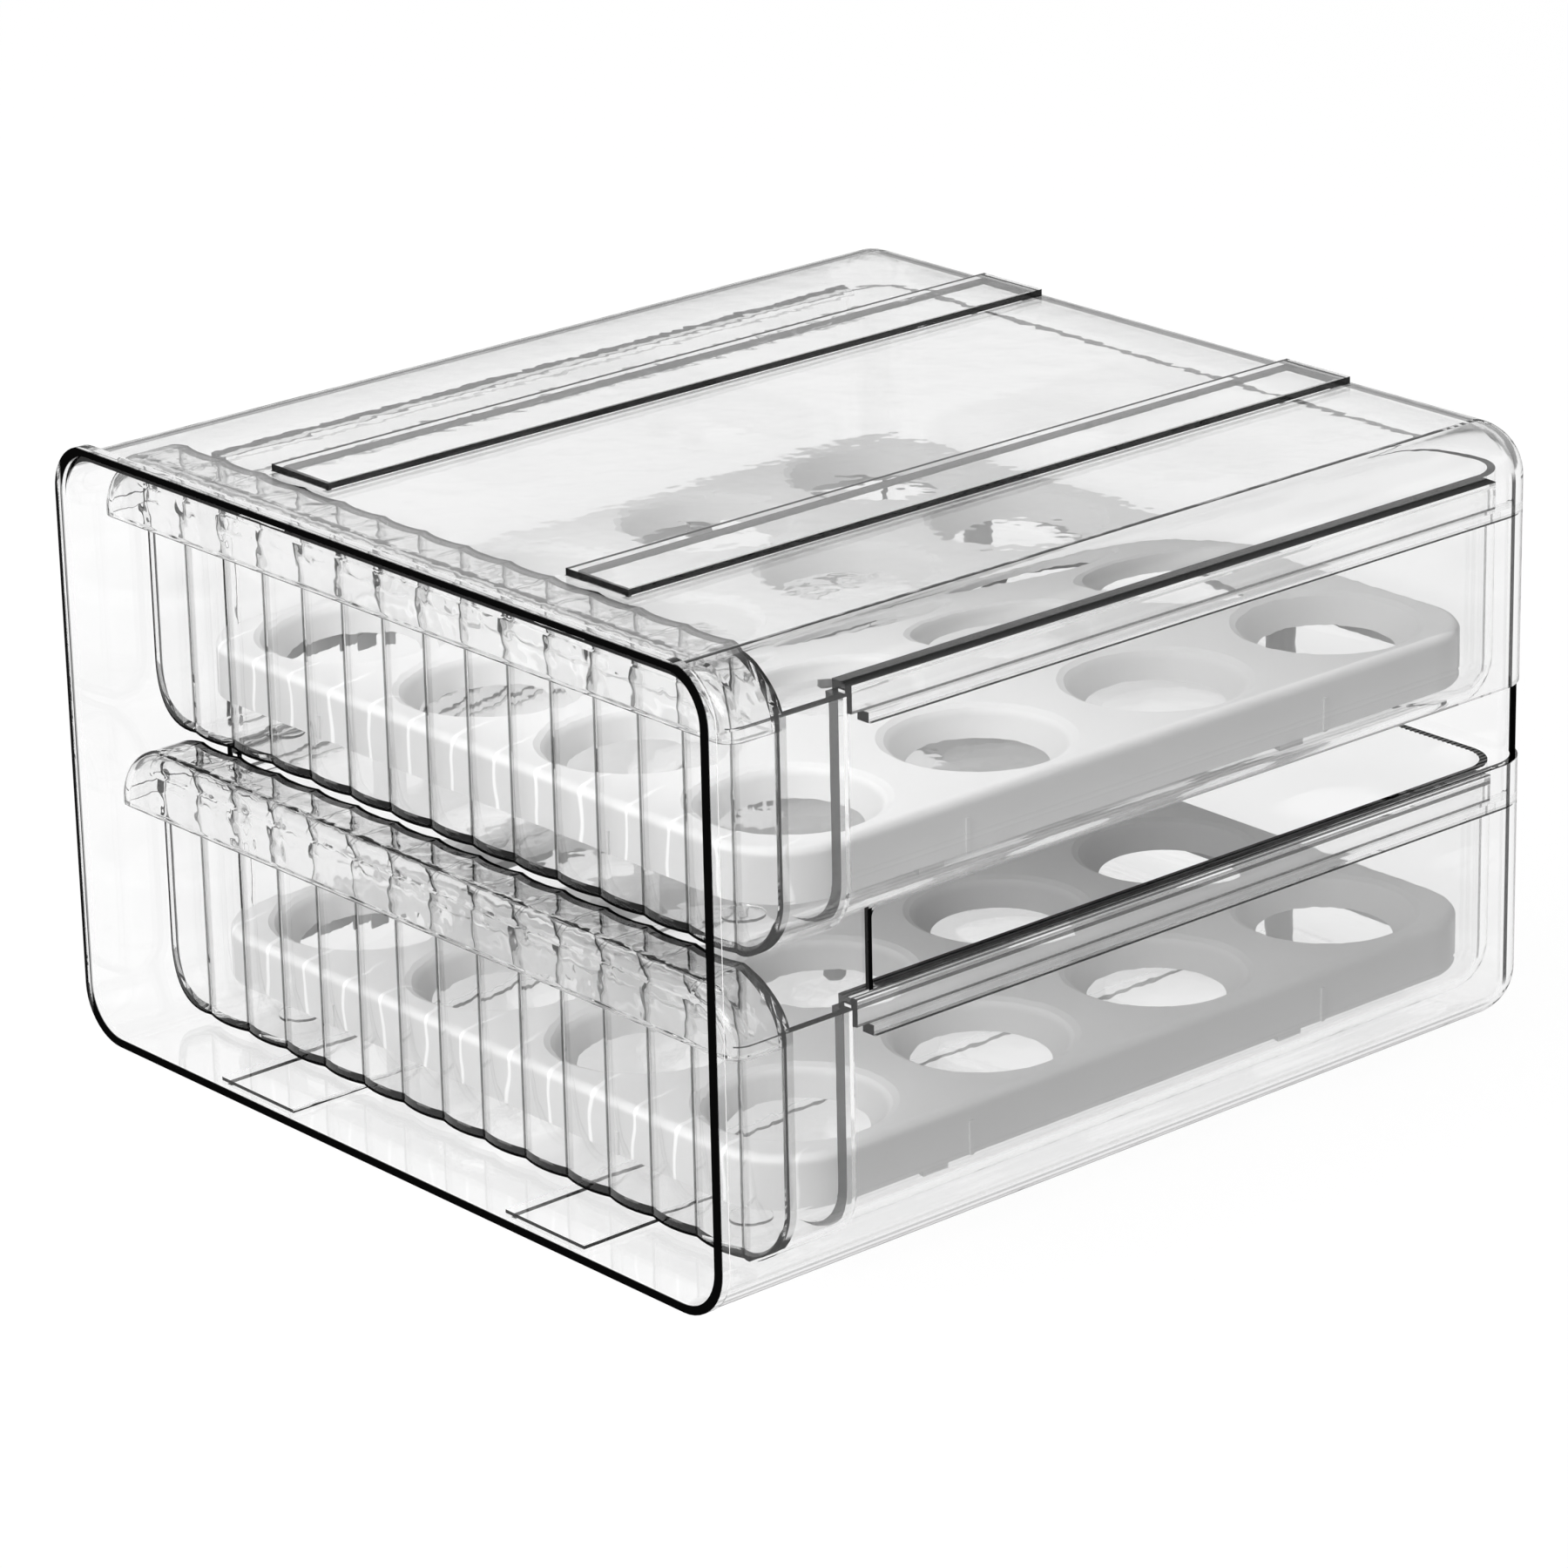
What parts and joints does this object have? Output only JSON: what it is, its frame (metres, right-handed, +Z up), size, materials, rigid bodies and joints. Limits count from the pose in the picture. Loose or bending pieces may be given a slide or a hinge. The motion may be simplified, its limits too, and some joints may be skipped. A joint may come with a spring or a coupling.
{
  "type": "egg storage drawer",
  "caption": "Tiered clear plastic egg storage box: fluted pull-out drawers on side runners, each with a lift-out grid tray of dished cups, in an open-fronted sleeve.",
  "frame": {"origin": "centre of the bounding box's underside, on the surface that the housing stands on", "axes": "+X to the right seen from the front, +Y towards the closed back, +Z up; the drawers open towards -Y"},
  "size_m": [0.217, 0.2388, 0.1394],
  "materials": {
    "clear_plastic": "clear, polished",
    "tray_plastic": "satin"
  },
  "bodies": {
    "housing": {"housing": "clear_plastic"},
    "lower_drawer": {"lower_drawer": "clear_plastic", "lower_egg_tray": "tray_plastic"},
    "upper_drawer": {"upper_drawer": "clear_plastic", "upper_egg_tray": "tray_plastic"}
  },
  "joints": [
    {"name": "lower_drawer_slide", "type": "slide", "parent": "housing", "child": "lower_drawer", "axis": [0, -1, 0], "range_m": [0, 0.16]},
    {"name": "upper_drawer_slide", "type": "slide", "parent": "housing", "child": "upper_drawer", "axis": [0, -1, 0], "range_m": [0, 0.16]}
  ]
}
